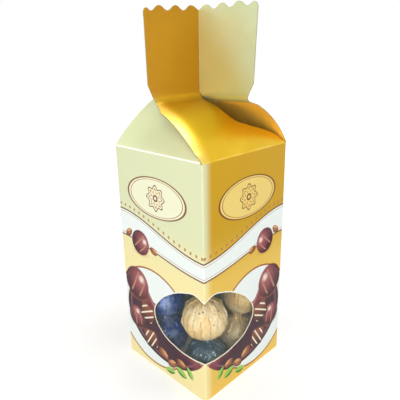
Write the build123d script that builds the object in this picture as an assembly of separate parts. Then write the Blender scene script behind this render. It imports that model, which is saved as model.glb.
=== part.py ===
from build123d import *
import math
import os

os.makedirs("parts", exist_ok=True)

# A gift carton of wrapped pralines: a square tube of printed board, closed by a pinwheel top.
# Millimetres, +Z up. The origin is the middle of the base, the front wall faces -Y and the left wall -X.

# Carton body
body_width = 70.0  # outside, square in plan
body_height = 140.0  # base to shoulder crease
board = 0.5  # board thickness
crease_gap = 0.3  # slot left each side of a moving crease
cut_overrun = 2.0  # how far a cutting tool runs past what it cuts

# Glued seam inside the hidden corner
seam_width = 12.0
seam_bevel = 6.0  # taper at both ends of the seam strip

# Glued base
base_inner_depth = 46.0  # inner panel, from the back wall forwards
dust_flap_gap = 4.0  # between the two dust flaps
dust_flap_taper = 5.0

# Window, half of it on each wall beside the near corner
window_reach = 42.0  # from the corner to the widest point, measured on a wall
window_low = 24.5  # lowest point above the base
window_rise = 42.0  # lowest to highest point
film = 0.15  # film thickness
film_margin = 6.0  # glued border round the window
film_relief = 0.05  # between the film's lap and the board
# From the notch at the corner, over the lobe and down to the flat tip: reach and rise.
lobe_shares = [
    (0.00, 0.94), (0.17, 1.00), (0.36, 0.96), (0.62, 0.84), (0.89, 0.62),
    (1.00, 0.39), (0.86, 0.14), (0.56, 0.02), (0.26, 0.00), (0.00, 0.04),
]

# Roof flaps
neck_rise = 26.3  # neck crease above the shoulder crease
roof_bend_radius = 67.0  # outer face of a bowed flap
flat_roof_bend_radius = 124.0  # the left flap is pressed flatter by the one that laps it
corner_inset = 1.0  # lapped end of a flap, from the corner along the crease
deep_corner_inset = 3.6  # the same under the flatter flap
shoulder_run_share = 0.40  # straight left edge of a flap, of the body width
neck_inset = 2.3  # neck crease, in from the left edge
# The concave cut from the crotch on the axis to the right end of the shoulder crease,
# along the crease and in from it, both of the body width.
cut_shares = [
    (0.504, 0.425), (0.525, 0.350), (0.535, 0.275), (0.562, 0.200),
    (0.654, 0.150), (0.800, 0.102), (0.923, 0.055), (1.000, 0.000),
]
crotch_setback = 1.0  # neck crease ends this far short of the axis

# Collar tabs. The left and right ones spread a little wider than the front and back ones.
collar_height = 46.7  # neck crease to the scallop tips at the axis
tab_clearance = 0.3  # between tabs that meet on the axis
tab_flare_rise = 8.0  # height over which the outer edge flares
tab_flare = 4.0  # outer edge, out past the neck crease
tab_top_flare = 0.6  # further out at the top
tab_top_drop = 2.0  # outer end of the scalloped top below its inner end
wide_tab_flare = 4.6
wide_tab_top_flare = 1.9
wide_tab_top_drop = 0.2
scallop_pitch = 10.8
scallop_depth = 2.4
scallop_count = 4

# Pralines, in wrappers with gathered tops
layers = 3
praline_radius = 13.3  # a ball, cut flat below and above
praline_base_radius = 10.2
praline_tip_radius = 2.8
wrap_clearance = 0.15  # foil to chocolate
foil = 0.25  # crumpled foil, as thick as it stands
gather_radius = 2.6  # neck of the gathers
gather_height = 1.6
frill_radius = 7.4
frill_height = 6.0
frill_pleats = 9
frill_waist_share = 0.78  # inner corners of the pleats, of the frill radius
stack_clearance = 0.1  # a wrapper to what it stands on
side_clearance = 0.3  # between neighbours in a layer when both lie off their places
nudge = 2.4  # most that a praline lies off its place in the row
# How far each praline of a layer lies off its place, of the nudge, and its turn in degrees.
lie_shares = [
    [(0.5, -0.4, 10), (-0.6, 0.4, 64), (0.3, 0.6, 131), (-0.6, -0.4, 207)],
    [(-0.4, -0.6, 35), (0.5, -0.2, 88), (-0.7, 0.1, 170), (0.7, 0.3, 251)],
    [(0.4, 0.3, 22), (-0.2, -0.7, 97), (0.6, -0.6, 149), (-0.1, 0.8, 290)],
]

half = body_width / 2
inner = half - board
base_top = 3 * board
sides = ["front", "right", "back", "left"]


def save(shape, node):
    export_step(shape, f"parts/{node}.step")


def turned(shape, quarter_turns):
    # The front piece turned to another side: once gives the right side, then back, then left.
    return shape.rotate(Axis.Z, quarter_turns * 90)


def across_corner(shape):
    # Mirror over the vertical plane through the near corner, from the front wall to the left wall.
    return shape.mirror(Plane(origin=(0, 0, 0), z_dir=(1, -1, 0)))


def raised(outline, height):
    # A prism from an outline drawn in plan, standing on z = 0.
    return extrude(make_face(outline), height, dir=(0, 0, 1))


def upright(outline, depth_low, depth_high):
    # A prism from an outline drawn in X and Z, between two depths along Y.
    face = make_face(Plane.XZ * outline).translate((0, depth_low, 0))
    return extrude(face, depth_high - depth_low, dir=(0, 1, 0))


# Walls

def plain_wall():
    plan = Polyline((-half, -half), (half, -half), (inner, -inner), (-inner, -inner), close=True)
    return raised(plan, body_height - crease_gap)


def half_window():
    # The half on the front wall, drawn from the near corner along X.
    lobe = [(-half + window_reach * a, window_low + window_rise * z) for a, z in lobe_shares]
    top = lobe[0]
    bottom = lobe[-1]
    outside = -half - cut_overrun
    edge = Spline(*lobe)
    sides_of_it = Polyline(bottom, (outside, bottom[1]), (outside, top[1]), top)
    return upright(edge + sides_of_it, -half - cut_overrun, -inner + cut_overrun)


window = half_window()
walls = [plain_wall(), turned(plain_wall(), 1), turned(plain_wall(), 2), turned(plain_wall(), 3)]
walls[0] = walls[0] - window
walls[3] = walls[3] - across_corner(window)
for side, wall in zip(sides, walls):
    save(wall, f"wall_{side}")


# Glued seam, a tapered strip on the inside of the back wall

seam_outer = inner
seam_free = inner - seam_width
seam_top = body_height - board - crease_gap
seam = Polyline(
    (seam_outer, base_top), (seam_outer, seam_top),
    (seam_free, seam_top - seam_bevel), (seam_free, base_top + seam_bevel), close=True,
)
save(upright(seam, inner - board, inner), "glue_seam_flap")


# Glued base: dust flaps on top of the inner panel, on top of the outer panel

def base_layer(outline, level):
    return raised(outline, board).translate((0, 0, level * board))


outer_panel = Polyline((-inner, -inner), (inner, -inner), (inner, inner), (-inner, inner), close=True)
save(base_layer(outer_panel, 0), "base_outer_panel")

inner_edge = inner - base_inner_depth
inner_panel = Polyline(
    (-inner, inner), (inner, inner),
    (inner - dust_flap_taper, inner_edge), (-inner + dust_flap_taper, inner_edge), close=True,
)
save(base_layer(inner_panel, 1), "base_inner_panel")

dust_edge = -dust_flap_gap / 2
dust_flap = Polyline(
    (-inner, -inner), (-inner, inner),
    (dust_edge, inner - dust_flap_taper), (dust_edge, -inner + dust_flap_taper), close=True,
)
save(base_layer(dust_flap, 2), "base_dust_flap_left")
save(turned(base_layer(dust_flap, 2), 2), "base_dust_flap_right")


# Window film, bent round the near corner against the inside of the walls

film_face = inner - film_relief
film_back = film_face - film
film_end = -half + window_reach + film_margin
film_plan = Polyline(
    (-film_face, film_end), (-film_face, -film_face), (film_end, -film_face),
    (film_end, -film_back), (-film_back, -film_back), (-film_back, film_end), close=True,
)
film_sheet = raised(film_plan, window_rise + 2 * film_margin)
save(film_sheet.translate((0, 0, window_low - film_margin)), "window_film")


# Roof flaps

neck_run = half - board / 2  # from the shoulder crease in to the neck crease


def bowed_sheet(bend_radius):
    # A full-width sheet that leaves the shoulder crease steeply and flattens towards the neck crease.
    chord = math.hypot(neck_run, neck_rise)
    chord_slope = math.atan2(neck_rise, neck_run)
    half_sweep = math.asin(chord / 2 / bend_radius)
    root_slope = chord_slope + half_sweep
    gap_sweep = crease_gap / bend_radius
    middle_y = -half + bend_radius * math.sin(root_slope)
    middle_z = body_height - bend_radius * math.cos(root_slope)

    def on_arc(radius, slope):
        return (middle_y - radius * math.sin(slope), middle_z + radius * math.cos(slope))

    slopes = [root_slope - gap_sweep, chord_slope, chord_slope - half_sweep + gap_sweep]
    top_face = [on_arc(bend_radius, slope) for slope in slopes]
    under_face = [on_arc(bend_radius - board, slope) for slope in slopes]
    profile = (
        ThreePointArc(*top_face)
        + Line(top_face[2], under_face[2])
        + ThreePointArc(*under_face)
        + Line(under_face[0], top_face[0])
    )
    # Plane.YZ draws its first coordinate along Y and its second along Z.
    return extrude(make_face(Plane.YZ * profile), half, both=True)


def flap_plan(inset):
    # The flap seen from above. Its right side is cut away to pass under the next flap.
    left = -half
    crease = -half
    neck = crease + neck_run
    crotch = (-crotch_setback, neck)
    cut = [
        (left + along * body_width - inset * (2 * along - 1), crease + depth * body_width)
        for along, depth in cut_shares
    ]
    edge = Spline(crotch, *cut)
    rest = Polyline(
        cut[-1], (left, crease), (left, crease + shoulder_run_share * body_width),
        (left + neck_inset, neck), crotch,
    )
    return edge + rest


def roof_flap(bend_radius, inset):
    column = raised(flap_plan(inset), neck_rise + 2 * cut_overrun)
    return bowed_sheet(bend_radius) & column.translate((0, 0, body_height - cut_overrun))


flap_shapes = {
    "front": (roof_bend_radius, corner_inset),
    "right": (roof_bend_radius, corner_inset),
    "back": (roof_bend_radius, deep_corner_inset),
    "left": (flat_roof_bend_radius, corner_inset),
}
for turns, side in enumerate(sides):
    save(turned(roof_flap(*flap_shapes[side]), turns), f"roof_flap_{side}")


# Collar tabs

def collar_tab(flare, top_flare, top_drop):
    # The front tab, in X and Z: it stands over the near half of the neck crease.
    neck_z = body_height + neck_rise
    foot_z = neck_z + crease_gap
    axis_x = -board / 2 - tab_clearance
    foot_x = -half + neck_inset
    flare_x = foot_x - flare
    top_x = flare_x - top_flare
    valley_z = neck_z + collar_height - scallop_depth
    drop = top_drop / (axis_x - top_x)  # fall of the top per unit of width

    # The scallops are one smooth wave, from a valley at the axis outwards.
    wave = []
    for step in range(2 * scallop_count + 1):
        out = step * scallop_pitch / 2
        rise = scallop_depth if step % 2 else 0
        wave.append((axis_x - out, valley_z + rise - out * drop))
    scallops = Spline(*wave)
    foot = Polyline(wave[-1], (wave[-1][0], foot_z), (axis_x, foot_z), wave[0])
    top_z = neck_z + collar_height + cut_overrun
    sides_of_tab = Polyline(
        (axis_x, foot_z), (foot_x, foot_z), (flare_x, foot_z + tab_flare_rise),
        (top_x, top_z), (axis_x, top_z), close=True,
    )
    scalloped = upright(scallops + foot, -board / 2, board / 2)
    return scalloped & upright(sides_of_tab, -board, board)


narrow_tab = (tab_flare, tab_top_flare, tab_top_drop)
wide_tab = (wide_tab_flare, wide_tab_top_flare, wide_tab_top_drop)
for turns, side in enumerate(sides):
    shape = wide_tab if side in ("left", "right") else narrow_tab
    save(turned(collar_tab(*shape), turns), f"collar_tab_{side}")


# Pralines and their wrappers

praline_shoulder = math.sqrt(praline_radius ** 2 - praline_base_radius ** 2)  # height of the widest point
praline_height = praline_shoulder + math.sqrt(praline_radius ** 2 - praline_tip_radius ** 2)


def dome_solid(grow):
    # The chocolate, or a skin that stands off it by grow.
    radius = praline_radius + grow
    low = -grow
    top = praline_height + grow
    foot = (math.sqrt(radius ** 2 - (praline_shoulder - low) ** 2), low)
    tip = (math.sqrt(radius ** 2 - (top - praline_shoulder) ** 2), top)
    belly = ThreePointArc(foot, (radius, praline_shoulder), tip)
    outline = Polyline(tip, (0, top), (0, low), foot)
    return revolve(make_face(Plane.XZ * (belly + outline)), Axis.Z)


def pleated(radius):
    # A star of pleats, as it is seen from above.
    points = []
    for corner in range(2 * frill_pleats):
        reach = radius if corner % 2 == 0 else radius * frill_waist_share
        angle = math.pi * corner / frill_pleats
        points.append((reach * math.cos(angle), reach * math.sin(angle)))
    return make_face(Polyline(*points, close=True))


def wrapper():
    skin = dome_solid(wrap_clearance + foil) - dome_solid(wrap_clearance)
    neck_z = praline_height + wrap_clearance + foil
    frill_z = neck_z + gather_height
    gathers = Cylinder(gather_radius, gather_height, align=(Align.CENTER, Align.CENTER, Align.MIN))
    frill = loft(
        [
            pleated(gather_radius).translate((0, 0, frill_z)),
            pleated(frill_radius).translate((0, 0, frill_z + frill_height)),
        ],
        ruled=True,
    )
    return skin + gathers.translate((0, 0, neck_z)) + frill


wrapper_low = wrap_clearance + foil
wrapper_height = wrapper_low + praline_height + wrap_clearance + foil + gather_height + frill_height
praline_shape = dome_solid(0)
wrapper_shape = wrapper()
wrapper_width = wrapper_shape.bounding_box().size.X

# As many to a row as fit inside the film, each in its own square of the floor.
row_room = 2 * film_back
cell_least = wrapper_width + 2 * nudge + side_clearance
per_row = max(1, int(row_room / cell_least))
row_pitch = row_room / per_row


def lie(layer, place):
    # The offsets and the turn of one praline, repeated where there are more than the list names.
    layer_lies = lie_shares[layer % len(lie_shares)]
    return layer_lies[place % len(layer_lies)]


number = 0
for layer in range(layers):
    seat = base_top + stack_clearance + wrapper_low + layer * (wrapper_height + stack_clearance)
    for place in range(per_row ** 2):
        row, column = divmod(place, per_row)
        off_x, off_y, turn = lie(layer, place)
        x = -row_room / 2 + (column + 1 / 2) * row_pitch + off_x * nudge
        y = -row_room / 2 + (row + 1 / 2) * row_pitch + off_y * nudge
        spot = Location((x, y, seat), (0, 0, turn))
        number += 1
        save(spot * praline_shape, f"praline_{number:02d}")
        save(spot * wrapper_shape, f"wrapper_{number:02d}")
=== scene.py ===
import bpy
from math import asin, atan2, cos, hypot, pi, radians, sin, tan
from mathutils import Matrix, Vector


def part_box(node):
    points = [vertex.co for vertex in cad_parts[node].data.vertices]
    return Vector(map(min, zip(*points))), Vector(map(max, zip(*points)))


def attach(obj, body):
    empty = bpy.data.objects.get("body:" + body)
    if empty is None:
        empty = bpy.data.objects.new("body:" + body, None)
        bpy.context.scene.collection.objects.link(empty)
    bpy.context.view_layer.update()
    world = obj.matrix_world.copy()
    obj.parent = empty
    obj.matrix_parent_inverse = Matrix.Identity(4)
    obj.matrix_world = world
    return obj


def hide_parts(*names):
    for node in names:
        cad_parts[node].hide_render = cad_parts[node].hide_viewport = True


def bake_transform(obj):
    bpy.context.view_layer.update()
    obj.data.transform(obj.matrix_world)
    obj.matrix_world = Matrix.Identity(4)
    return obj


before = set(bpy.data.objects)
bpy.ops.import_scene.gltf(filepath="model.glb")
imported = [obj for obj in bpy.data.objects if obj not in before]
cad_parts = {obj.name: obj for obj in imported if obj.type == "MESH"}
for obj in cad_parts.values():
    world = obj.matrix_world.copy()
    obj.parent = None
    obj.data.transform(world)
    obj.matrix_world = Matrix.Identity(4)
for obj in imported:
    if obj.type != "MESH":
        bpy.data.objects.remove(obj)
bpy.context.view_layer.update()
mm = 0.001
sides = ["front", "right", "back", "left"]
print("frame loaded")


# Camera, stood where the photograph was taken

camera = {
    "place": (-0.1753, -0.1724, 0.1885),
    "heading": 44.77,  # degrees from +X
    "dip": 18.64,
    "tilt": -1.0,
    "lens": 38.75,
}


def addCamera():
    heading = radians(camera["heading"])
    dip = radians(camera["dip"])
    ahead = Vector((cos(heading) * cos(dip), sin(heading) * cos(dip), -sin(dip)))
    level = Vector((sin(heading), -cos(heading), 0))
    rise = level.cross(ahead)
    roll = asin(sin(radians(camera["tilt"])) / rise.z)
    right = level * cos(roll) + rise * sin(roll)
    up = right.cross(ahead)
    turn = Matrix((right, up, -ahead)).transposed().to_4x4()
    obj = bpy.data.objects.new("camera", bpy.data.cameras.new("camera"))
    bpy.context.collection.objects.link(obj)
    obj.matrix_world = Matrix.Translation(camera["place"]) @ turn
    obj.data.lens = camera["lens"]
    bpy.context.scene.camera = obj


addCamera()


# Small helpers for meshes

def pick(obj):
    if bpy.context.object and bpy.context.object.mode != "OBJECT":
        bpy.ops.object.mode_set(mode="OBJECT")
    bpy.ops.object.select_all(action="DESELECT")
    obj.select_set(True)
    bpy.context.view_layer.objects.active = obj


def addModifier(obj, kind, **settings):
    pick(obj)
    modifier = obj.modifiers.new(kind.lower(), kind)
    for key, value in settings.items():
        setattr(modifier, key, value)
    bpy.ops.object.modifier_apply(modifier=modifier.name)


def settle(obj):
    # place and turn go into the mesh
    pick(obj)
    bpy.ops.object.transform_apply(location=True, rotation=True, scale=True)


def rename(obj, name):
    obj.name = name
    obj.data.name = name
    return obj


def copyOf(obj, name):
    twin = obj.copy()
    twin.data = obj.data.copy()
    bpy.context.collection.objects.link(twin)
    return rename(twin, name)


def turnTo(obj, quarterTurns):
    # from the front of the carton to another side
    obj.rotation_euler.z = radians(90) * quarterTurns
    settle(obj)


def editMesh(obj):
    # in edit mode, with everything selected
    pick(obj)
    bpy.ops.object.mode_set(mode="EDIT")
    bpy.ops.mesh.select_mode(type="VERT")
    bpy.ops.mesh.select_all(action="SELECT")


def objectMode():
    bpy.ops.object.mode_set(mode="OBJECT")


def selectWhere(obj, level, test):
    # in edit mode: selects the vertices, edges or faces that pass the test
    bpy.ops.mesh.select_mode(type=level)
    bpy.ops.mesh.select_all(action="DESELECT")
    objectMode()
    mesh = obj.data
    for item in {"VERT": mesh.vertices, "EDGE": mesh.edges, "FACE": mesh.polygons}[level]:
        item.select = test(item)
    bpy.ops.object.mode_set(mode="EDIT")


def extrudeBy(y, z):
    bpy.ops.mesh.extrude_region_move(TRANSFORM_OT_translate={"value": (0, y, z)})


def tidyMesh(obj, merge=0.01 * mm):
    editMesh(obj)
    bpy.ops.mesh.remove_doubles(threshold=merge)
    bpy.ops.mesh.normals_make_consistent(inside=False)
    objectMode()


def flipFaces(obj):
    editMesh(obj)
    bpy.ops.mesh.flip_normals()
    objectMode()


def drawnPrism(name, outline, low, high, grow=0.0, upright=False):
    # A closed outline filled and raised from low to high. Drawn in X and Y, or upright in X and Z,
    # where low and high are depths along Y. Each point is (x, y, sharp).
    curve = bpy.data.curves.new(name, "CURVE")
    curve.dimensions = "2D"
    curve.fill_mode = "BOTH"
    curve.resolution_u = 8
    curve.extrude = (high - low) / 2
    curve.offset = grow
    spline = curve.splines.new("BEZIER")
    spline.bezier_points.add(len(outline) - 1)
    for corner, (x, y, sharp) in zip(spline.bezier_points, outline):
        corner.co = (x, y, 0)
        corner.handle_left_type = corner.handle_right_type = "VECTOR" if sharp else "AUTO"
    spline.use_cyclic_u = True
    obj = bpy.data.objects.new(name, curve)
    bpy.context.collection.objects.link(obj)
    pick(obj)
    bpy.ops.object.convert(target="MESH")
    obj = bpy.context.object
    middle = (low + high) / 2
    if upright:
        obj.rotation_euler.x = radians(90)
        obj.location.y = middle
    else:
        obj.location.z = middle
    settle(obj)
    tidyMesh(obj, 0.001 * mm)
    return obj


def cutWith(obj, cutter, operation, keepCutter=False):
    addModifier(obj, "BOOLEAN", operation=operation, object=cutter, solver="EXACT",
                material_mode="TRANSFER")
    if not keepCutter:
        bpy.data.objects.remove(cutter, do_unlink=True)


def smooth(obj, angle=30):
    pick(obj)
    bpy.ops.object.shade_smooth_by_angle(angle=radians(angle))


# Helpers for materials

def toLinear(hexColour):
    parts = [int(hexColour[i:i + 2], 16) / 255 for i in (0, 2, 4)]
    return [p / 12.92 if p <= 0.04045 else ((p + 0.055) / 1.055) ** 2.4 for p in parts] + [1.0]


# the setting that a node's mode fills in
mainSetting = {
    "Math": "operation", "VectorMath": "operation", "MapRange": "interpolation_type",
    "Mix": "data_type", "Mapping": "vector_type", "TexVoronoi": "feature",
}


def fill(tree, socket, value):
    # the value is a node, one output of a node, a hex colour, or a plain number or row of numbers
    if isinstance(value, bpy.types.Node):
        value = next(output for output in value.outputs if output.enabled)
    if isinstance(value, bpy.types.NodeSocket):
        tree.links.new(value, socket)
    else:
        socket.default_value = toLinear(value) if isinstance(value, str) else value


def addNode(tree, kind, mode=None, *values, **named):
    # one node with its mode, and its inputs filled or linked: in their order, or by name
    node = tree.nodes.new("ShaderNode" + kind)
    if mode:
        setattr(node, mainSetting[kind], mode)
    for socket, value in zip([s for s in node.inputs if s.enabled], values):
        fill(tree, socket, value)
    for name, value in named.items():
        fill(tree, node.inputs[name], value)
    return node


def dress(mat, **finish):
    # fills inputs of the material's shader, with _ for a space
    tree = mat.node_tree
    for name, value in finish.items():
        fill(tree, tree.nodes["Principled BSDF"].inputs[name.replace("_", " ")], value)


def newMaterial(name, **finish):
    # the material, its node tree, and the place on the object
    mat = bpy.data.materials.new(name)
    mat.use_nodes = True
    dress(mat, **finish)
    return mat, mat.node_tree, addNode(mat.node_tree, "TexCoord").outputs["Object"]


def paint(tree, under, over, value, start, end, most=1.0):
    # lays one colour softly over another as the value goes from start to end
    share = addNode(tree, "MapRange", "SMOOTHSTEP", value, start, end, 0.0, most)
    return addNode(tree, "Mix", "RGBA", share, under, over)


def stripe(tree, value, width, soft=0.3):
    # 1 where the value is near 0
    size = addNode(tree, "Math", "ABSOLUTE", value)
    return addNode(tree, "MapRange", "SMOOTHSTEP", size, width * (1 + soft), width * (1 - soft))


def lineOver(tree, under, colour, value, at, width):
    # draws a line where the value is near a place
    off = addNode(tree, "Math", "SUBTRACT", value, at)
    return addNode(tree, "Mix", "RGBA", stripe(tree, off, width), under, colour)


def bothPast(tree, *stretches):
    # 1 where each value has gone from the start of its stretch to the end
    shares = [addNode(tree, "MapRange", "SMOOTHSTEP", *stretch) for stretch in stretches]
    return addNode(tree, "Math", "MULTIPLY", *shares)


def mottled(tree, point, colours, size):
    # two colours in soft clouds, size wide
    cloud = addNode(tree, "TexNoise", None, point, 1 / size)
    return paint(tree, *colours, cloud, 0.35, 0.65)


def bumped(tree, point, size, depth, **under):
    # a surface uneven by depth in lumps of size
    lumps = addNode(tree, "TexNoise", None, point, 1 / size)
    return addNode(tree, "Bump", None, Strength=1.0, Distance=depth, Height=lumps, **under)


print("helpers ready")


# The carton's main sizes

carton = {
    "half": 35 * mm,
    "height": 140 * mm,  # to the shoulder creases
    "top": 213 * mm,  # of the scallops
    "board": 0.5 * mm,
    "cornerRadius": 0.7 * mm,  # the standing corners
    "flapStart": 0.55 * mm,  # the flaps start this far under the shoulder creases, below every fold
    "neckRadius": 4.5 * mm,  # the fold at the foot of each tab
    "neckFlat": 0.8 * mm,  # straight run before it, where flap and tab part
    "neckDepth": 34.75 * mm,  # shoulder crease to neck crease, level
    "neckRise": 26.3 * mm,
}
half = carton["half"]
board = carton["board"]
wallTop = carton["height"] - carton["flapStart"]


# Board: bleached boxboard, offset printed and varnished. Each printed face has its own material.

varnish = {
    "grain": 0.5 * mm, "grainDepth": 0.004 * mm,  # the fibres, drawn coarser than they are so that they show
    "wave": 22 * mm, "waveDepth": 0.12 * mm,
}


def varnished(name, metallic=0.0, roughness=0.36, coat=0.2):
    # One varnish for all the board: a thin hard skin that glints softly. The board under it is never
    # quite flat, so reflections bend over a few centimetres, and the fibres roughen them.
    mat, tree, point = newMaterial(name, Metallic=metallic, Roughness=roughness, Coat_Weight=coat,
                                   Coat_Roughness=0.12)
    warped = bumped(tree, point, varnish["wave"], varnish["waveDepth"])
    dress(mat, Normal=bumped(tree, point, varnish["grain"], varnish["grainDepth"], Normal=warped))
    return mat, tree, point


# Print on the walls, a generic drawing. All places are in millimetres, along from the near (or the far)
# corner and up from the base, so each wall carries its neighbour's drawing, mirrored.

wallPrint = {
    "cream": ("D9DDB3", "F1E2A4"), "gold": ("C69A1A", "E4BE55"),  # high up, and low down
    "turn": (104, 66),  # heights between which the one turns into the other
    "cornerBlend": 7,  # cream runs this far round the corner onto the gold walls
    "brown": "7A4A28", "paleBlue": "E9F0EC",
    "metal": 0.75,  # of the bare gold ink
    # the ribbon is wider by swell where it is high, and has a hairline inside each edge
    "ribbon": {"middle": 88, "swing": 6, "half": 6.8, "swell": 1.6, "edge": 0.45,
               "hairlineIn": 1.6, "hairline": 0.18, "hairlineColour": "C49A62"},
    "dots": {"above": 3.0, "pitch": 4.2, "half": 0.8, "colour": "B07A4A"},
    "oval": {"at": (36, 115), "half": (24, 11.5), "onCream": "EBEBCB", "onGold": "E8CB72"},
    # place, half width and colour of each line round the oval, as shares of it
    "ovalLines": [(1.0, 0.028, "7A4A28"), (0.9, 0.013, "A8763E")],
    "rosette": (7.5, 7.5),
    # radius, swing, half width and colour of each ring of petals, as shares of the rosette
    "petals": [(0.86, 0.12, 0.05, "7A4A28"), (0.56, 0.16, 0.06, "C08A3E"), (0.2, 0.0, 0.07, "7A4A28")],
    "petalCount": 8,
    "field": {"at": (44, 36), "half": (34, 33), "turn": -8, "edge": 0.016, "edgeColour": "A05A30"},
    # chocolate poured round the foot of the window, up to a slanting, rippled brim
    "pour": {"at": (33, 38), "half": (36, 29), "brim": 23.0, "slope": 0.62, "ripple": 1.6,
             "rippleTurn": 0.55, "lit": "8A3C42", "deep": "340A20", "deepAt": 16.0,
             # how far in each gleam runs, and half its width
             "gleam": "C08A7A", "gleamPlace": (2.2, 0.5), "rim": "7A4450", "rimPlace": (0.9, 0.02)},
    # along, up, half length and turn in degrees
    "leaf": [(20, 9, 5.4, 20), (30, 5, 4.8, -12), (12.5, 12.5, 4.4, 55)],
    "bean": [(36, 14.5, 4.8, 25), (28, 11, 4.3, -30), (40, 82, 3.4, 20), (62.5, 88, 3.6, -40),
             (20, 15.5, 4.0, 10)],
    "truffle": [(58, 55, 11.2, 10), (60.5, 30, 7.8, -25), (52, 84, 8.0, 30)],
    "bonbon": [(49.5, 37, 6.6, 18), (47, 19.5, 6.4, -12)],
}
# Widths and places are shares of the motif's half length. Light is where it is lit from, and rim is where
# it starts and is whole.
motifLooks = {
    "leaf": {"slim": 0.5, "rim": (1.03, 0.93), "dark": "4E8A2C", "lit": "9CC84E",
             "vein": "CBE08C", "veinHalf": 0.07},
    "bean": {"slim": 0.62, "rim": (1.03, 0.93), "dark": "7A3A1C", "lit": "D89A62", "light": (-0.3, 0.4, 0),
             "furrow": "4A2010", "furrowHalf": 0.09, "furrowTurn": 3.0, "furrowSwing": 0.18},
    "truffle": {"slim": 1, "rim": (1.02, 0.95), "dark": "46101E", "lit": "A2545A", "light": (-0.3, 0.35, 0),
                "drizzle": "B07A62", "drizzleTurn": (9.0, 3.0, 0),
                "glint": "F0D8C8", "glintAt": (-0.34, 0.42, 0), "glintSize": (0.34, 0.05),
                "shadow": "A86A38", "shadowDown": 0.75, "shadowHalf": (1.15, 0.45), "shadowMost": 0.45},
    "bonbon": {"slim": 1, "rim": (1.05, 0.9), "dark": "3A1610", "lit": "8A4A30", "squareness": 5.0,
               "stripe": "F2E4CC", "stripeTurn": (7.5, 7.5, 0), "edge": "2A0E0A", "edgeMost": 0.4},
}


def motifAt(tree, sheet, at, size, turn=0):
    # the wall's drawing with a motif's middle at 0 and its edge at 1: as a place, as its two parts, and as
    # the distance from the middle
    v = addNode(tree, "Mapping", "TEXTURE", sheet, (*at, 0), (0, 0, radians(turn)), (*size, 1))
    x, y, _ = addNode(tree, "SeparateXYZ", None, v).outputs
    return v, x, y, addNode(tree, "VectorMath", "LENGTH", v)


def leaf(tree, look, v, x, y, out):
    body = paint(tree, look["dark"], look["lit"], y, -0.6, 0.6)
    body = lineOver(tree, body, look["vein"], y, 0.0, look["veinHalf"])
    # pointed at both ends
    return body, addNode(tree, "Math", "MULTIPLY_ADD", x, x, addNode(tree, "Math", "ABSOLUTE", y))


def bean(tree, look, v, x, y, out):
    fromLight = addNode(tree, "VectorMath", "DISTANCE", v, look["light"])
    body = paint(tree, look["dark"], look["lit"], fromLight, 1.3, 0.1)
    # a furrow swings gently along the middle
    wave = addNode(tree, "Math", "SINE", addNode(tree, "Math", "MULTIPLY", x, look["furrowTurn"]))
    furrow = addNode(tree, "Math", "MULTIPLY", wave, look["furrowSwing"])
    return lineOver(tree, body, look["furrow"], y, furrow, look["furrowHalf"]), out


def slantedLines(tree, v, turn, start, end, inside):
    # as wide as start and end leave them, and only past the stretch inside
    slant = addNode(tree, "VectorMath", "DOT_PRODUCT", v, turn)
    return bothPast(tree, (addNode(tree, "Math", "SINE", slant), start, end), inside)


def truffle(tree, look, v, x, y, out):
    fromLight = addNode(tree, "VectorMath", "DISTANCE", v, look["light"])
    body = paint(tree, look["dark"], look["lit"], fromLight, 1.25, 0.1)
    # drizzled, but for its rim
    lines = slantedLines(tree, v, look["drizzleTurn"], 0.72, 0.95, (out, 0.85, 0.7))
    body = addNode(tree, "Mix", "RGBA", lines, body, look["drizzle"])
    fromGlint = addNode(tree, "VectorMath", "DISTANCE", v, look["glintAt"])
    return paint(tree, body, look["glint"], fromGlint, *look["glintSize"]), out


def bonbon(tree, look, v, x, y, out):
    # a square with rounded corners
    powers = [addNode(tree, "Math", "POWER", addNode(tree, "Math", "ABSOLUTE", way), look["squareness"])
              for way in (x, y)]
    rim = addNode(tree, "Math", "ADD", *powers)
    body = paint(tree, look["dark"], look["lit"], y, -1.0, 0.9)
    lines = slantedLines(tree, v, look["stripeTurn"], 0.55, 0.8, (rim, 0.5, 0.35))
    body = addNode(tree, "Mix", "RGBA", lines, body, look["stripe"])
    return paint(tree, body, look["edge"], rim, 0.35, 0.5, look["edgeMost"]), rim


def drawMotif(tree, colour, sheet, draw, look, along, up, size, turn):
    if "shadow" in look:
        *_, out = motifAt(tree, sheet, (along, up - look["shadowDown"] * size),
                          [share * size for share in look["shadowHalf"]])
        colour = paint(tree, colour, look["shadow"], out, 1.0, 0.3, look["shadowMost"])
    place = motifAt(tree, sheet, (along, up), (size, look["slim"] * size), turn)
    body, rim = draw(tree, look, *place)
    return paint(tree, colour, body, rim, *look["rim"])


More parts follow.
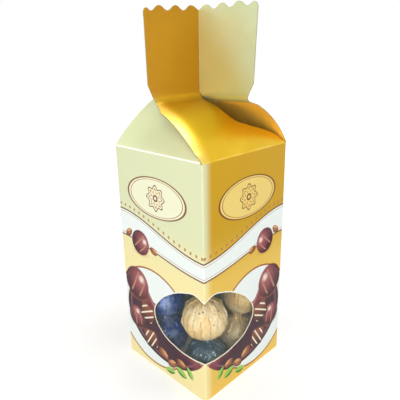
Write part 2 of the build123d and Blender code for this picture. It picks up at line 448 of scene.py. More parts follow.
def drawRibbon(tree, colour, total, along, up):
    # a pale ribbon winds round all four walls, and a row of dots follows it
    ribbon = wallPrint["ribbon"]
    dots = wallPrint["dots"]
    around = addNode(tree, "Math", "MULTIPLY", total, pi * mm / (2 * half))
    wave = addNode(tree, "Math", "COSINE", around)
    middle = addNode(tree, "Math", "MULTIPLY_ADD", wave, ribbon["swing"], ribbon["middle"])
    off = addNode(tree, "Math", "SUBTRACT", up, middle)
    halfWidth = addNode(tree, "Math", "MULTIPLY_ADD", wave, ribbon["swell"], ribbon["half"])
    pastEdge = addNode(tree, "Math", "SUBTRACT", addNode(tree, "Math", "ABSOLUTE", off), halfWidth)
    onRibbon = addNode(tree, "MapRange", "SMOOTHSTEP", pastEdge, 0.15, -0.15)
    colour = addNode(tree, "Mix", "RGBA", onRibbon, colour, wallPrint["paleBlue"])
    colour = lineOver(tree, colour, wallPrint["brown"], pastEdge, 0.0, ribbon["edge"])
    colour = lineOver(tree, colour, ribbon["hairlineColour"], pastEdge, -ribbon["hairlineIn"],
                      ribbon["hairline"])
    rowPlace = addNode(tree, "Math", "ADD", halfWidth, dots["above"])
    row = stripe(tree, addNode(tree, "Math", "SUBTRACT", off, rowPlace), dots["half"])
    beat = addNode(tree, "Math", "SINE", addNode(tree, "Math", "MULTIPLY", along, 2 * pi / dots["pitch"]))
    dot = addNode(tree, "Math", "MULTIPLY", addNode(tree, "MapRange", "SMOOTHSTEP", beat, 0.35, 0.8), row)
    return addNode(tree, "Mix", "RGBA", dot, colour, dots["colour"]), onRibbon


def drawOval(tree, colour, sheet, onCream):
    # a bare oval with a rosette
    oval = wallPrint["oval"]
    *_, rim = motifAt(tree, sheet, oval["at"], oval["half"])
    paper = addNode(tree, "Mix", "RGBA", onCream, oval["onGold"], oval["onCream"])
    _, x, y, out = motifAt(tree, sheet, oval["at"], wallPrint["rosette"])
    turn = addNode(tree, "Math", "MULTIPLY", addNode(tree, "Math", "ARCTAN2", y, x), wallPrint["petalCount"])
    wave = addNode(tree, "Math", "COSINE", turn)
    for radius, swing, width, tint in wallPrint["petals"]:
        petal = addNode(tree, "Math", "MULTIPLY_ADD", wave, swing, radius)
        paper = lineOver(tree, paper, tint, out, petal, width)
    onOval = addNode(tree, "MapRange", "SMOOTHSTEP", rim, 1.0, 0.97)
    colour = addNode(tree, "Mix", "RGBA", onOval, colour, paper)
    for where, width, tint in wallPrint["ovalLines"]:
        colour = lineOver(tree, colour, tint, rim, where, width)
    return colour, onOval


def drawField(tree, colour, sheet):
    # a pale field beside the window, edged in brown
    field = wallPrint["field"]
    *_, rim = motifAt(tree, sheet, field["at"], field["half"], field["turn"])
    onField = addNode(tree, "MapRange", "SMOOTHSTEP", rim, 1.0, 0.97)
    colour = addNode(tree, "Mix", "RGBA", onField, colour, wallPrint["paleBlue"])
    return lineOver(tree, colour, field["edgeColour"], rim, 1.0, field["edge"]), onField


def drawPour(tree, colour, sheet, along, up):
    pour = wallPrint["pour"]
    ripple = addNode(tree, "Math", "SINE", addNode(tree, "Math", "MULTIPLY", along, pour["rippleTurn"]))
    slope = addNode(tree, "Math", "MULTIPLY_ADD", along, pour["slope"], pour["brim"])
    brim = addNode(tree, "Math", "MULTIPLY_ADD", ripple, pour["ripple"], slope)
    depth = addNode(tree, "Math", "SUBTRACT", brim, up)
    *_, rim = motifAt(tree, sheet, pour["at"], pour["half"])
    onPour = bothPast(tree, (rim, 1.0, 0.98), (depth, 0.0, 0.5))
    melt = paint(tree, pour["lit"], pour["deep"], depth, 0.0, pour["deepAt"])
    # a gleam runs under the brim, another inside the rim
    melt = lineOver(tree, melt, pour["gleam"], depth, *pour["gleamPlace"])
    melt = lineOver(tree, melt, pour["rim"], rim, *pour["rimPlace"])
    return addNode(tree, "Mix", "RGBA", onPour, colour, melt), onPour


def printOnWalls(name):
    mat, tree, point = varnished(name, coat=0.05)
    x, y, z = addNode(tree, "SeparateXYZ", None, point).outputs
    up = addNode(tree, "Math", "MULTIPLY", z, 1 / mm)
    total = addNode(tree, "Math", "MULTIPLY", addNode(tree, "Math", "ADD", x, y), 1 / mm)
    along = addNode(tree, "Math", "SUBTRACT", 2 * half / mm, addNode(tree, "Math", "ABSOLUTE", total))
    sheet = addNode(tree, "CombineXYZ", None, along, up)
    offMiddle = [addNode(tree, "Math", "ABSOLUTE", way) for way in (x, y)]
    onCream = addNode(tree, "Math", "GREATER_THAN", *offMiddle)

    cream, gold = [paint(tree, *wallPrint[ink], up, *wallPrint["turn"]) for ink in ("cream", "gold")]
    atCorner = addNode(tree, "MapRange", "SMOOTHSTEP", along, wallPrint["cornerBlend"], 0.0)
    gold = addNode(tree, "Mix", "RGBA", atCorner, gold, cream)
    colour = addNode(tree, "Mix", "RGBA", onCream, gold, cream)
    colour, onRibbon = drawRibbon(tree, colour, total, along, up)
    colour, onOval = drawOval(tree, colour, sheet, onCream)
    colour, onField = drawField(tree, colour, sheet)
    colour, onPour = drawPour(tree, colour, sheet, along, up)
    for kind, draw in {"leaf": leaf, "bean": bean, "truffle": truffle, "bonbon": bonbon}.items():
        for place in wallPrint[kind]:
            colour = drawMotif(tree, colour, sheet, draw, motifLooks[kind], *place)
    # only the bare gold ink has the metal sheen
    metal = wallPrint["metal"]
    for cover in (onCream, atCorner, onRibbon, onOval, onField, onPour):
        metal = addNode(tree, "Math", "MULTIPLY", metal, addNode(tree, "Math", "SUBTRACT", 1.0, cover))
    dress(mat, Base_Color=colour, Metallic=metal, Specular_IOR_Level=0.25)
    return mat


# Walls: inks of all colours under the thinnest varnish, so the print reads evenly from every side, and
# only the bare gold turns darker and lighter as metal does
printWalls = printOnWalls("varnished_boxboard_walls")


boardLooks = {
    "cloud": 20 * mm,  # the faint unevenness of the ink
    "cream": ("D4D9A6", "D1D5A0"), "creamCreaseGlint": "FBFBF0",
    "gold": ("E6BE22", "E0B61C"), "goldCreaseGlint": "F8E48C", "goldCurlHighlight": "F6E27E", "goldTabShade": "B5800B",
    "creaseGlintHalf": 0.35 * mm,  # half the width of the highlight painted along the shoulder creases
    "creaseGlintPatch": 12 * mm,
    "thin": (27 * mm, 36 * mm),  # from the middle plane out, where a highlight is painted on the curled side
    "tabShadeRise": (158 * mm, 172 * mm),  # heights between which the gold goes from flap to tab, where the tab is painted darker as shade
    "white": ("F6F5E8", "F1F0DF"), "whiteCloud": 5 * mm,
    "inside": ("C8CFA4", "C3CA9C"), "insideGoldReflection": "B0A23A",
    "goldReflection": (10 * mm, -16 * mm),  # from none to the full painted reflection: distance from the axis less that from the top
    "goldReflectionFoot": (150 * mm, 165 * mm),  # heights over which it sets in
    # the back of the flaps, painted bright gold for the light bounced from the flap beneath
    "goldInside": ("FFC44A", "F8BC42"), "goldInsideCloud": 12 * mm,
    "edge": ("BCAA78", "8E7E58"), "edgeFibre": 0.8 * mm,  # coarser than real fibres, so that it shows
}
shoulder = carton["height"], boardLooks["creaseGlintHalf"]  # the height and half width of the highlight painted along the shoulder crease

# Cream ink on flaps and tabs: an even pale wash under the varnish, with a painted highlight along the
# shoulder crease
printCream, tree, point = varnished("varnished_boxboard_cream")
cream = mottled(tree, point, boardLooks["cream"], boardLooks["cloud"])
height = addNode(tree, "SeparateXYZ", None, point).outputs["Z"]
dress(printCream, Base_Color=lineOver(tree, cream, boardLooks["creamCreaseGlint"], height, *shoulder))

# Gold ink on flaps and tabs: bronze powder in the ink gives a satin metal sheen, with painted shade where
# the tab stands up and a painted highlight where the board curls over the edge
printGold, tree, point = varnished("varnished_boxboard_gold", roughness=0.34, coat=0.06)
x, y, height = addNode(tree, "SeparateXYZ", None, point).outputs
gold = mottled(tree, point, boardLooks["gold"], boardLooks["cloud"])
# a highlight painted along the shoulder crease, faint and in patches
patches = addNode(tree, "TexNoise", None, point, 1 / boardLooks["creaseGlintPatch"])
patches = addNode(tree, "MapRange", "SMOOTHSTEP", patches, 0.45, 0.62, 0.05, 0.35)
creaseGlinted = lineOver(tree, gold, boardLooks["goldCreaseGlint"], height, *shoulder)
gold = addNode(tree, "Mix", "RGBA", patches, gold, creaseGlinted)
# a pale highlight painted far out on the curled side of the flaps
farOut = addNode(tree, "Math", "ABSOLUTE", x)
farOut = addNode(tree, "MapRange", "SMOOTHSTEP", farOut, *boardLooks["thin"], 0.0, 0.7)
curledSide = addNode(tree, "Math", "GREATER_THAN", addNode(tree, "Math", "MULTIPLY", x, y), 0.0)
thin = addNode(tree, "Math", "MULTIPLY", farOut, curledSide)
gold = addNode(tree, "Mix", "RGBA", thin, gold, boardLooks["goldCurlHighlight"])
# the tab is painted darker as shade, and is a little less metal
dress(printGold, Base_Color=paint(tree, gold, boardLooks["goldTabShade"], height, *boardLooks["tabShadeRise"]),
      Metallic=addNode(tree, "MapRange", "SMOOTHSTEP", height, *boardLooks["tabShadeRise"], 0.75, 0.65))

# White ink round the window: opaque and plain, a clean bright line
keylineWhite, tree, point = varnished("varnished_boxboard_white")
dress(keylineWhite, Base_Color=mottled(tree, point, boardLooks["white"], boardLooks["whiteCloud"]))

# Back of the tabs and walls: a pale pearly wash, with a painted reflection of the gold tabs towards the axis
boardInside, tree, point = varnished("boxboard_inside", metallic=0.35, roughness=0.38, coat=0.0)
x, y, height = addNode(tree, "SeparateXYZ", None, point).outputs
fromAxis = addNode(tree, "Math", "ADD", *[addNode(tree, "Math", "ABSOLUTE", way) for way in (x, y)])
belowTop = addNode(tree, "Math", "SUBTRACT", carton["top"], height)
beyond = addNode(tree, "Math", "SUBTRACT", fromAxis, belowTop)
# the painted reflection of the gold tabs, high up near the axis
goldReflection = bothPast(tree, (beyond, *boardLooks["goldReflection"], 0.0, 0.5), (height, *boardLooks["goldReflectionFoot"]))
pale = mottled(tree, point, boardLooks["inside"], boardLooks["cloud"])
dress(boardInside, Base_Color=addNode(tree, "Mix", "RGBA", goldReflection, pale, boardLooks["insideGoldReflection"]))

# Back of the flaps: a flat warm gold wash, matt, painted bright and gold to stand in for the light bounced
# up from the gold flap beneath
goldInside, tree, point = varnished("boxboard_inside_painted_bounce", metallic=0.1, roughness=0.45, coat=0.0)
dress(goldInside, Base_Color=mottled(tree, point, boardLooks["goldInside"], boardLooks["goldInsideCloud"]))

# Cut edge: raw pressed fibre, matt and grey-brown, speckled along its length
boardEdge, tree, point = newMaterial("boxboard_cut_edge", Roughness=0.9)
dress(boardEdge, Base_Color=mottled(tree, point, boardLooks["edge"], boardLooks["edgeFibre"]))
print("board materials made")


# Carton walls: one folded tube with the window cut in it

window = {
    # the half on the front wall, in millimetres: along from the near corner, up from the base, and
    # whether the outline is sharp there
    "lobe": [(-3, 64, 1), (0, 64, 1), (7.1, 66.5, 0), (15.1, 64.8, 0), (26, 59.8, 0), (37.4, 50.5, 0),
             (42, 40.9, 0), (36.1, 30.4, 0), (23.5, 25.3, 0), (10.9, 24.5, 0), (0, 26.2, 1), (-3, 26.2, 1)],
    "keyline": 0.65 * mm,  # white border printed round it
    "middle": 45 * mm, "reach": 40 * mm,  # height, and up and down from it past the border
    "cutterDepth": 1 * mm,  # each way from the wall's face
    "skin": 0.2 * mm,  # a face nearer than this to the outside belongs to it
}


def lobePrism(name, grow=0.0):
    outline = [(-half + along * mm, up * mm, sharp) for along, up, sharp in window["lobe"]]
    depth = window["cutterDepth"]
    return drawnPrism(name, outline, -half - depth, -half + depth, grow, upright=True)


def toLeftWall(obj):
    # mirrored over the plane through the near corner
    turnTo(obj, 1)
    obj.scale.x = -1
    settle(obj)
    tidyMesh(obj)


def windowPrism(name, grow=0.0):
    # the whole heart, bent round the near corner
    front = lobePrism(name + "_front", grow)
    left = lobePrism(name + "_left", grow)
    toLeftWall(left)
    for lobe in (front, left):
        lobe.data.materials.append(boardEdge)
    cutWith(front, left, "UNION")
    return front


def foldTube():
    def standing(edge):
        low, high = [tube.data.vertices[i].co.z for i in edge.vertices]
        return abs(high - low) > half

    bpy.ops.mesh.primitive_cube_add(size=1, location=(0, 0, wallTop / 2))
    tube = rename(bpy.context.object, "carton_tube")
    tube.scale = (2 * half, 2 * half, wallTop)
    settle(tube)
    for mat in (printWalls, boardInside, boardEdge, keylineWhite):  # slots 0 to 3
        tube.data.materials.append(mat)
    editMesh(tube)
    selectWhere(tube, "FACE", lambda f: abs(f.normal.z) > 0.9)
    bpy.ops.mesh.delete(type="ONLY_FACE")
    selectWhere(tube, "EDGE", standing)
    bpy.ops.mesh.bevel(offset=carton["cornerRadius"], offset_type="OFFSET", segments=4, profile=0.5)
    objectMode()
    addModifier(tube, "SOLIDIFY", thickness=board, offset=-1, use_even_offset=True,
                material_offset=1, material_offset_rim=2)
    return tube


def buildTube():
    tube = foldTube()
    # the border of the window is cut out, thinned to a ring and welded back
    wide = windowPrism("wide", window["keyline"])
    narrow = windowPrism("narrow")
    ring = copyOf(tube, "keyline_ring")
    cutWith(ring, wide, "INTERSECT", keepCutter=True)
    cutWith(tube, wide, "DIFFERENCE")
    for piece in (ring, tube):
        # the faces where the two meet
        editMesh(piece)
        selectWhere(piece, "FACE",
                    lambda f: f.material_index == 2 and abs(f.center.z - window["middle"]) < window["reach"])
        bpy.ops.mesh.delete(type="ONLY_FACE")
        objectMode()
    cutWith(ring, narrow, "DIFFERENCE")
    for face in ring.data.polygons:
        outside = max(-face.center.x, -face.center.y) > half - window["skin"]
        if face.material_index == 0 or (face.material_index != 1 and outside and abs(face.normal.z) < 0.01):
            face.material_index = 3
    pick(tube)
    ring.select_set(True)
    bpy.ops.object.join()
    tidyMesh(tube, 0.002 * mm)
    editMesh(tube)
    bpy.ops.mesh.delete_loose(use_verts=True, use_edges=True, use_faces=False)
    objectMode()
    smooth(tube)
    addModifier(tube, "WEIGHTED_NORMAL", keep_sharp=True, weight=100)
    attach(tube, "carton")
    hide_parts(*["wall_" + side for side in sides])


buildTube()
print("carton walls made")


# Roof flaps and collar tabs. All four are made as the front one and then turned round the axis.
# Unless they say mm, the numbers are in millimetres.

panels = {
    "front": {"bowRadius": 67 * mm, "shoulderRadius": 1.6 * mm, "inset": 1.0, "flare": 4.0, "topFlare": 0.25,
              "topDrop": 2.0, "curl": 2.6 * mm, "curlWidth": 10 * mm},
    "right": {"bowRadius": 67 * mm, "shoulderRadius": 0.8 * mm, "inset": 1.0, "flare": 4.6, "topFlare": 1.5,
              "topDrop": 0.2},
    "back": {"bowRadius": 67 * mm, "shoulderRadius": 0.8 * mm, "inset": 1.2, "flare": 4.0, "topFlare": 0.25,
             "topDrop": 2.0},
    "left": {"bowRadius": 124 * mm, "shoulderRadius": 0.9 * mm, "inset": 1.0, "flare": 4.6, "topFlare": 1.5,
             "topDrop": 0.2},
}
strip = {
    "columns": 48,
    "spare": 6 * mm,  # wider than the wall by this at each end
    "row": 0.1 * mm,
    "shoulderSteps": 6, "bowSteps": 26, "neckSteps": 14,
    "tabRows": (2, 4, 6, 8, 8, 8, 8, 8),
    "curled": (-31 * mm, -4.5 * mm),  # the stretch in Y that curls down
    "curledFrom": 0.2 * mm,  # in from the wall's edge
    "shoulderBlend": 1.2 * mm,  # the bend over a crease is over this far above it
    "neckBlend": 5 * mm,
}
flapCut = {
    "left": 0.05,
    "leftRun": 28,  # up to here the left edge runs straight
    "neck": (-33.2, -0.6),  # from end to end, where the tab starts
    # the concave cut from the crotch to the far end of the crease, along from the crease's left end and
    # in from it. Its last point moves in by the panel's inset.
    "cut": [(35.3, 29.75), (36.7, 24.5), (37.4, 19.25), (39.3, 14.0), (45.6, 10.5), (55.7, 7.1),
            (64.2, 3.9)],
    "low": 130, "high": 180, "over": 1,  # of the cutter, and how far it runs past the crease
}
tabCut = {
    "axis": -0.29,  # edge beside the axis
    "foot": -32.7,
    # out from the foot, and up
    "low": (0.5, 158),
    "waist": (0.3, 166.8),
    "flareTop": 174.6,
    "pitch": 10.8,  # scallops
    "depth": 2.4,
    "count": 4,
    "corner": 1.6,  # rounding of the outer top corner
    "cornerRise": 0.6,  # of the depth, from the valleys up to the corner
    "cornerRun": 3,  # straight run of the outer edge below it
    "cornerClear": 0.6,  # least distance from it to a scallop
}


def bowOf(side):
    # centre and slopes of a flap's bow, in Y and Z, and where its two folds meet it
    radius = panels[side]["bowRadius"]
    chord = hypot(carton["neckDepth"], carton["neckRise"])
    chordSlope = atan2(carton["neckRise"], carton["neckDepth"])
    halfSweep = asin(chord / 2 / radius)
    root = chordSlope + halfSweep
    bow = {"radius": radius}
    bow["centre"] = (-half + radius * sin(root), carton["height"] - radius * cos(root))
    bow["foldLength"] = panels[side]["shoulderRadius"] * tan((pi / 2 - root) / 2)
    bow["start"] = root - bow["foldLength"] / radius
    neck = carton["neckRadius"]
    bow["end"] = 0.3
    for _ in range(5):
        # the neck fold has to end upright, beside the axis
        back = neck + carton["neckFlat"] * cos(bow["end"])
        bow["end"] = asin((bow["centre"][0] + board / 2 + back) / (radius + neck))
    return bow


def onBow(bow, slope, lift=0.0):
    out = bow["radius"] + lift
    return bow["centre"][0] - out * sin(slope), bow["centre"][1] + out * cos(slope)


def startSheet(name):
    # the first row of a strip of board, at the top of the front wall, left selected in edit mode
    bpy.ops.mesh.primitive_grid_add(x_subdivisions=strip["columns"], y_subdivisions=1, size=1,
                                    location=(0, -half, wallTop))
    sheet = rename(bpy.context.object, name)
    sheet.scale = (2 * (half + strip["spare"]), strip["row"], 1)
    settle(sheet)
    editMesh(sheet)
    selectWhere(sheet, "VERT", lambda v: v.co.y < -half)
    bpy.ops.mesh.delete(type="VERT")
    bpy.ops.mesh.select_all(action="SELECT")
    bpy.ops.transform.translate(value=(0, -strip["row"] / 2, 0))
    return sheet


def spinOn(centre, angle, steps):
    # turns the selected row on, inwards and over, about a line along X
    bpy.ops.mesh.spin(steps=steps, angle=angle, center=(0, centre[0], centre[1]), axis=(1, 0, 0))


def curlEdge(sheet, drop, width):
    # the left edge curls down over the flap under it, more and more towards the edge
    near, far = strip["curled"]
    edge = -half + strip["curledFrom"]
    selectWhere(sheet, "VERT", lambda v: v.co.x < edge and near < v.co.y < far)
    bpy.ops.transform.translate(value=(0, 0, -drop), use_proportional_edit=True,
                                proportional_edit_falloff="SHARP", proportional_size=width)


def foldSheet(side, bow, flat):
    # flap and tab are one strip of board: over the shoulder crease and the bow, round the neck and up
    panel = panels[side]
    sheet = startSheet("sheet_" + side)
    foldFoot = carton["height"] - bow["foldLength"]
    extrudeBy(0, foldFoot - wallTop)
    spinOn((-half + panel["shoulderRadius"], foldFoot), pi / 2 - bow["start"], strip["shoulderSteps"])
    spinOn(bow["centre"], bow["start"] - bow["end"], strip["bowSteps"])
    extrudeBy(*flat)
    neck = onBow(bow, bow["end"], carton["neckRadius"])
    spinOn((neck[0] + flat[0], neck[1] + flat[1]), bow["end"] - pi / 2, strip["neckSteps"])
    for rise in strip["tabRows"]:
        extrudeBy(0, rise * mm)
    if "curl" in panel:
        curlEdge(sheet, panel["curl"], panel["curlWidth"])
    objectMode()
    return sheet


def flapOutline(panel, neckY):
    inset = panel["inset"]
    left = -half + flapCut["left"] * mm
    farEnd = half - inset * mm
    past = -half - flapCut["over"] * mm
    outline = [(left, past, 1), (left, -half + flapCut["leftRun"] * mm, 1)]
    outline += [(x * mm, neckY, 1) for x in flapCut["neck"]]
    outline += [(-half + (along - inset * (along * mm / half - 1)) * mm, -half + deep * mm, 0)
                for along, deep in flapCut["cut"]]
    return outline + [(farEnd, -half, 1), (farEnd, past, 1)]


def tabOutline(panel):
    axis = tabCut["axis"]
    foot = tabCut["foot"]
    corner = tabCut["corner"]
    lowOut, lowUp = tabCut["low"]
    waistOut, waistUp = tabCut["waist"]
    flareX = foot - panel["flare"]
    topX = flareX - panel["topFlare"]
    valley = carton["top"] / mm - tabCut["depth"]
    topZ = valley + tabCut["cornerRise"] * tabCut["depth"] - panel["topDrop"]
    outline = [(axis, lowUp, 1), (foot - lowOut, lowUp, 1), (foot - waistOut, waistUp, 1),
               (flareX, tabCut["flareTop"], 1), (topX, topZ - corner - tabCut["cornerRun"], 1),
               (topX, topZ - corner, 0), (topX + corner, topZ, 0)]
    # scallops, lower and lower away from the axis
    step = tabCut["pitch"] / 2
    drop = step * panel["topDrop"] / (axis - topX)
    waves = [(axis - n * step, valley + (tabCut["depth"] if n % 2 else 0) - n * drop, 0)
             for n in range(2 * tabCut["count"])]
    waves = [wave for wave in waves if wave[0] > topX + corner + tabCut["cornerClear"]]
    outline += waves[:0:-1] + [(axis, valley, 1)]
    return [(x * mm, z * mm, sharp) for x, z, sharp in outline]


def cutOut(sheet, outside, inside, cutter):
    # gives the sheet its thickness and cuts it out. Outside is the print's material, inside the back's.
    tidyMesh(sheet, 0.001 * mm)
    # the printed side has to face out, and up where the tab lies level
    top = max(sheet.data.polygons, key=lambda f: f.center.z)
    if top.normal.y - top.normal.z > 0.3 or top.normal.z < -0.3:
        flipFaces(sheet)
    for mat in (outside, inside, boardEdge):
        sheet.data.materials.append(mat)
    addModifier(sheet, "SOLIDIFY", thickness=board, offset=-1, use_even_offset=True,
                material_offset=1, material_offset_rim=2)
    cutter.data.materials.append(boardEdge)
    cutWith(sheet, cutter, "INTERSECT")
    tidyMesh(sheet, 0.002 * mm)
    # a closed shell whose faces point inwards encloses less than nothing
    if sum(f.center.dot(f.normal) * f.area for f in sheet.data.polygons) < 0:
        flipFaces(sheet)
    smooth(sheet)


def buildPanel(turns, side):
    panel = panels[side]
    bow = bowOf(side)
    flat = carton["neckFlat"] * cos(bow["end"]), carton["neckFlat"] * sin(bow["end"])
    sheet = foldSheet(side, bow, flat)

    # flap and tab are cut apart in the middle of the straight run
    neckY, neckZ = onBow(bow, bow["end"])
    neckY, neckZ = neckY + flat[0] / 2, neckZ + flat[1] / 2
    outside = printGold if side in ("front", "back") else printCream
    flap = copyOf(sheet, "flap_" + side)
    plan = drawnPrism("plan", flapOutline(panel, neckY), flapCut["low"] * mm, flapCut["high"] * mm)
    cutOut(flap, outside, goldInside, plan)
    tab = rename(sheet, "tab_" + side)
    outline = drawnPrism("outline", tabOutline(panel), neckY, 1 * mm, upright=True)
    cutOut(tab, outside, boardInside, outline)

    # both are turned round to their side, and the CAD nodes they stand for are hidden
    shoulderEnd = (0, -half + panel["shoulderRadius"], carton["height"] + strip["shoulderBlend"])
    neckEnd = (0, -board / 2, neckZ + strip["neckBlend"])
    creases = ((flap, "roof_flap_", "carton", side + "_flap", (0, -half, wallTop), shoulderEnd),
               (tab, "collar_tab_", side + "_flap", side + "_tab", (0, neckY, neckZ), neckEnd))
    for piece, node, below, body, start, end in creases:
        turnTo(piece, turns)
        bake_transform(piece)
        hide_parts(node + side)


for turns, side in enumerate(sides):
    buildPanel(turns, side)
print("flaps and tabs made")


# Foil wrappers, gathered over each praline and twisted open above it. Modelled once at the origin,
# standing on its foot, then crumpled anew for each praline.

wrapper = {
    "sides": 72,
    # radius and height of each ring, in millimetres, and how deep the pleats are there
    "rings": [(9.4, 0.0, 0.0), (10.9, 0.5, 0.0), (12.7, 3.0, 0.01), (13.7, 6.0, 0.05), (14.1, 9.0, 0.1),
              (13.9, 12.0, 0.13), (13.2, 15.0, 0.17), (11.5, 18.0, 0.2), (8.8, 20.4, 0.22), (5.8, 21.9, 0.2),
              (3.6, 22.8, 0.2), (2.6, 23.7, 0.2), (3.2, 24.7, 0.2), (4.6, 26.2, 0.22), (6.0, 27.9, 0.24),
              (7.0, 29.4, 0.26)],
    "pleats": 9,
    "valley": (0.1, 0.2, 0.32, 0.42),  # each share of a pleat round its valley is drawn in once more
    "drawnIn": 0.3,  # of the depth, each time
    "crumples": [(7.2 * mm, 2.0 * mm), (2.9 * mm, 0.8 * mm)],  # size and depth of large and small creases
    "foil": 0.12 * mm,
    "clear": 0.2 * mm,  # least distance from the praline
    "turn": 53,  # degrees from one wrapper to the next, so that no two look alike
}
# colour, its lighter painted sheen, fleck, painted shade of the folds, metallic, roughness
foilLooks = {
    "foil_gold": ("E6C482", "F4E0AE", "8A5236", "7A5A30", 0.15, 0.46),
    "foil_blue": ("1A4A9C", "8EA2D0", "D8DCEC", "0E2048", 0.35, 0.36),
    "foil_green": ("48606A", "7A8C92", "C8CCC0", "1E2C34", 0.35, 0.38),
}
foilOf = {"01": "foil_green", "02": "foil_gold", "03": "foil_blue", "04": "foil_green",
          "05": "foil_gold", "06": "foil_gold", "07": "foil_blue", "08": "foil_green",
          "09": "foil_green", "10": "foil_gold", "11": "foil_gold", "12": "foil_blue"}
foilGrain = {
    "crush": 2.4 * mm, "crushDepth": 0.2 * mm, "sheen": 9 * mm,
    "fleck": 3.2 * mm, "fleckPatch": 14 * mm,
    "folds": 11, "wander": 3.6, "wanderSize": 7 * mm, "foldBreak": 4 * mm,
}
sweetLow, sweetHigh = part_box("praline_01")
sweetPlace = abs(sweetLow[0] + sweetHigh[0]) / 2  # of every praline from both middle planes


def newFoil(name, colour, sheen, fleck, foldShade, metallic, roughness):
    # Twisted foil: rolled aluminium lacquered in a colour. Crushed, it is silky rather than bright, with a
    # paler sheen painted in random patches, small printed flecks, and dark lines painted as the shade of
    # fine folds up to the gathers.
    mat, tree, point = newMaterial("twisted_" + name, Metallic=metallic, Roughness=roughness)
    # a paler sheen painted in random patches
    patches = addNode(tree, "TexNoise", None, point, 1 / foilGrain["sheen"], 3.0)
    base = paint(tree, colour, sheen, patches, 0.42, 0.66)
    cell = addNode(tree, "TexVoronoi", "F1", point, 1 / foilGrain["fleck"], Randomness=0.9)
    some = addNode(tree, "TexNoise", None, point, 1 / foilGrain["fleckPatch"])
    flecks = bothPast(tree, (cell, 0.22, 0.12), (some, 0.52, 0.58))
    base = addNode(tree, "Mix", "RGBA", flecks, base, fleck)
    # painted shade in the folds: its lines turn round each praline's own axis, wander and break off
    x, y, _ = addNode(tree, "SeparateXYZ", None, point).outputs
    offX, offY = [addNode(tree, "Math", "SUBTRACT", addNode(tree, "Math", "ABSOLUTE", way), sweetPlace)
                  for way in (x, y)]
    wander = addNode(tree, "TexNoise", None, point, 1 / foilGrain["wanderSize"])
    wander = addNode(tree, "Math", "MULTIPLY", wander, foilGrain["wander"])
    around = addNode(tree, "Math", "ARCTAN2", offY, offX)
    swing = addNode(tree, "Math", "MULTIPLY_ADD", around, foilGrain["folds"], wander)
    swing = addNode(tree, "Math", "SINE", swing)
    broken = addNode(tree, "TexNoise", None, point, 1 / foilGrain["foldBreak"])
    broken = addNode(tree, "MapRange", "SMOOTHSTEP", broken, 0.42, 0.58, 0.0, 0.6)
    line = addNode(tree, "Math", "MULTIPLY", stripe(tree, swing, 0.2, 0.9), broken)
    base = addNode(tree, "Mix", "RGBA", line, base, foldShade)
    crush = addNode(tree, "TexVoronoi", "DISTANCE_TO_EDGE", point, 1 / foilGrain["crush"])
    crush = addNode(tree, "MapRange", "SMOOTHSTEP", crush, 0.0, 0.5)
    crushed = addNode(tree, "Bump", None, Strength=1.0, Distance=foilGrain["crushDepth"], Height=crush)
    dress(mat, Base_Color=base, Normal=crushed)
    return mat


foils = {name: newFoil(name, *look) for name, look in foilLooks.items()}


def fromValley(place):
    # from the bottom of the pleat's valley, as a share of a pleat
    return abs(atan2(place.y, place.x) / (2 * pi) * wrapper["pleats"] % 1 - 0.5)


def buildWrapper():
    rings = wrapper["rings"]
    bpy.ops.mesh.primitive_circle_add(vertices=wrapper["sides"], radius=rings[0][0] * mm, fill_type="TRIFAN")
    obj = rename(bpy.context.object, "wrapper_model")
    editMesh(obj)
    selectWhere(obj, "VERT", lambda v: hypot(*v.co.xy) > 1 * mm)
    for (radius, z, _), (nextRadius, nextZ, _) in zip(rings, rings[1:]):
        extrudeBy(0, (nextZ - z) * mm)
        grow = nextRadius / radius
        bpy.ops.transform.resize(value=(grow, grow, 1), center_override=(0, 0, nextZ * mm))
    for _, z, depth in rings:
        if not depth:
            continue
        shrink = 1 - depth * wrapper["drawnIn"]
        for share in wrapper["valley"]:
            selectWhere(obj, "VERT", lambda v: abs(v.co.z - z * mm) < 0.05 * mm and fromValley(v.co) < share)
            bpy.ops.transform.resize(value=(shrink, shrink, 1), center_override=(0, 0, z * mm))
    objectMode()
    tidyMesh(obj)
    return obj


def placeWrapper(pattern, number):
    low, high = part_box("praline_" + number)
    obj = copyOf(pattern, "foil_" + number)
    obj.location = ((low[0] + high[0]) / 2, (low[1] + high[1]) / 2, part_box("wrapper_" + number)[0][2])
    obj.rotation_euler.z = radians(wrapper["turn"] * int(number))
    settle(obj)
    addModifier(obj, "SUBSURF", levels=1, render_levels=1)
    for size, depth in wrapper["crumples"]:
        crumple = bpy.data.textures.new("crumple_" + number, "VORONOI")
        crumple.noise_scale = size
        crumple.distance_metric = "DISTANCE"
        addModifier(obj, "DISPLACE", texture=crumple, texture_coords="LOCAL", strength=depth, mid_level=0.4)
    addModifier(obj, "SHRINKWRAP", target=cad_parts["praline_" + number], wrap_mode="OUTSIDE",
                offset=wrapper["clear"])
    addModifier(obj, "SOLIDIFY", thickness=wrapper["foil"], offset=1)
    smooth(obj, 40)
    obj.data.materials.append(foils[foilOf[number]])
    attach(obj, "carton")
    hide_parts("wrapper_" + number)


model = buildWrapper()
for number in foilOf:
    placeWrapper(model, number)
bpy.data.objects.remove(model, do_unlink=True)
print("wrappers made")


# Materials of the CAD nodes that stay: pralines, base and glue seam, and the window's film

carried = {
    "chocolate": ("4A2818", "5A3422"), "bloom": 4 * mm, "chocolateGrain": 1.2 * mm,
    "chocolateDepth": 0.08 * mm,
    "board": ("E6E0CC", "D8D0B8"), "fibre": 1.4 * mm, "fibreStretch": 3.5, "boardGrain": 0.6 * mm,
    "boardDepth": 0.03 * mm,
    "film": ("9AA6AE", "929EA6"), "haze": 15 * mm, "filmWave": 18 * mm, "filmDepth": 0.3 * mm,
    "filmAlpha": (0.01, 0.25),  # looked through straight, and at a slant
}


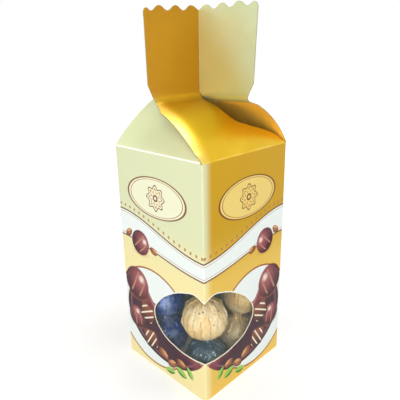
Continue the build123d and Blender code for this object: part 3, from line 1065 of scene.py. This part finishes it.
# Milk chocolate, cooled in a mould: satin, with the faint paler clouds of bloom
chocolate, tree, point = newMaterial("moulded_milk_chocolate", Roughness=0.42, Coat_Weight=0.1)
dress(chocolate, Base_Color=mottled(tree, point, carried["chocolate"], carried["bloom"]),
      Normal=bumped(tree, point, carried["chocolateGrain"], carried["chocolateDepth"]))

# Plain boxboard, uncoated: matt and chalky, with short fibres that show as soft flecks along X
plainBoard, tree, point = newMaterial("uncoated_boxboard", Roughness=0.85)
fibres = addNode(tree, "Mapping", "POINT", point, Scale=(1.0, carried["fibreStretch"], 1.0))
dress(plainBoard, Base_Color=mottled(tree, fibres, carried["board"], carried["fibre"]),
      Normal=bumped(tree, fibres, carried["boardGrain"], carried["boardDepth"]))

# Clear film, stretched polypropylene: glassy and slack, plainest where it is looked through straight
film, tree, point = newMaterial("clear_polypropylene_film", Roughness=0.06)
slant = addNode(tree, "LayerWeight", None, Blend=0.35).outputs["Facing"]
dress(film, Base_Color=mottled(tree, point, carried["film"], carried["haze"]),
      Alpha=addNode(tree, "MapRange", "SMOOTHSTEP", slant, 0.1, 1.0, *carried["filmAlpha"]),
      Normal=bumped(tree, point, carried["filmWave"], carried["filmDepth"]))

for name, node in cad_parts.items():
    for part, mat in (("praline", chocolate), ("base", plainBoard), ("glue", plainBoard), ("window", film)):
        if name.startswith(part):
            node.data.materials.clear()
            node.data.materials.append(mat)
print("carried nodes dressed")


# Floor and light

stage = {
    "size": 6.0,
    "paper": "D8D8D6",
    # lifts the paper to white where it is seen, less at the object's foot, so that its shadow stays
    "glow": (0.37, 0.75), "glowReach": (0.15, 1.0),
    "ambient": 0.36,
    # place, target, width of the lamp and watts
    "lamps": {
        "window": ((-0.75, -0.12, 0.24), (0, 0, 0.1), 0.45, 0.9),
        "overhead": ((0.09, -0.18, 0.85), (0, 0, 0.15), 0.3, 1.8),
        "behind": ((-0.35, 0.55, 0.5), (0, 0, 0.15), 0.3, 0.9),
        "fill": ((0.2, -0.8, 0.16), (0, 0, 0.06), 0.5, 0.65),
        "front": ((-0.58, -0.58, 0.18), (0, 0, 0.06), 0.3, 1.6),
        "upper": ((-0.56, -0.55, 0.55), (0, 0, 0.04), 0.3, 2.6),
        "rear": ((0.6, 0.5, 0.35), (0, 0, 0.1), 0.6, 1.4),
    },
}


def seenDirectly(tree):
    # 1 where the eye, or a mirror or glass, sees the surface itself
    path = addNode(tree, "LightPath").outputs
    eye = addNode(tree, "Math", "MAXIMUM", path["Is Camera Ray"], path["Is Glossy Ray"])
    return addNode(tree, "Math", "MAXIMUM", eye, path["Is Transmission Ray"])


def addLight(name, place, target, size, watts):
    lamp = bpy.data.lights.new(name, "AREA")
    lamp.shape = "DISK"
    lamp.size = size
    lamp.energy = watts
    obj = bpy.data.objects.new(name, lamp)
    bpy.context.collection.objects.link(obj)
    obj.location = place
    obj.rotation_euler = (Vector(target) - Vector(place)).to_track_quat("-Z", "Y").to_euler()


bpy.ops.mesh.primitive_plane_add(size=stage["size"], location=(0, 0, 0))
floor = rename(bpy.context.object, "floor")

# Studio paper: matt and smooth, seen as plain white
paper, tree, point = newMaterial("studio_paper", Roughness=0.9, Base_Color=stage["paper"],
                                 Emission_Color="FFFFFF")
fromFoot = addNode(tree, "VectorMath", "LENGTH", point)
glow = addNode(tree, "MapRange", "SMOOTHSTEP", fromFoot, *stage["glowReach"], *stage["glow"])
dress(paper, Emission_Strength=addNode(tree, "Math", "MULTIPLY", seenDirectly(tree), glow))
floor.data.materials.append(paper)

for name, lamp in stage["lamps"].items():
    addLight(name, *lamp)
world = bpy.data.worlds.new("studio")
bpy.context.scene.world = world
world.use_nodes = True
tree = world.node_tree
sky = tree.nodes["Background"].inputs
level = addNode(tree, "MapRange", "LINEAR", seenDirectly(tree), 0.0, 1.0, stage["ambient"], 1.0)
fill(tree, sky["Color"], "FFFFFF")
fill(tree, sky["Strength"], level)
bpy.context.scene.view_settings.view_transform = "Standard"
print("floor and light set")
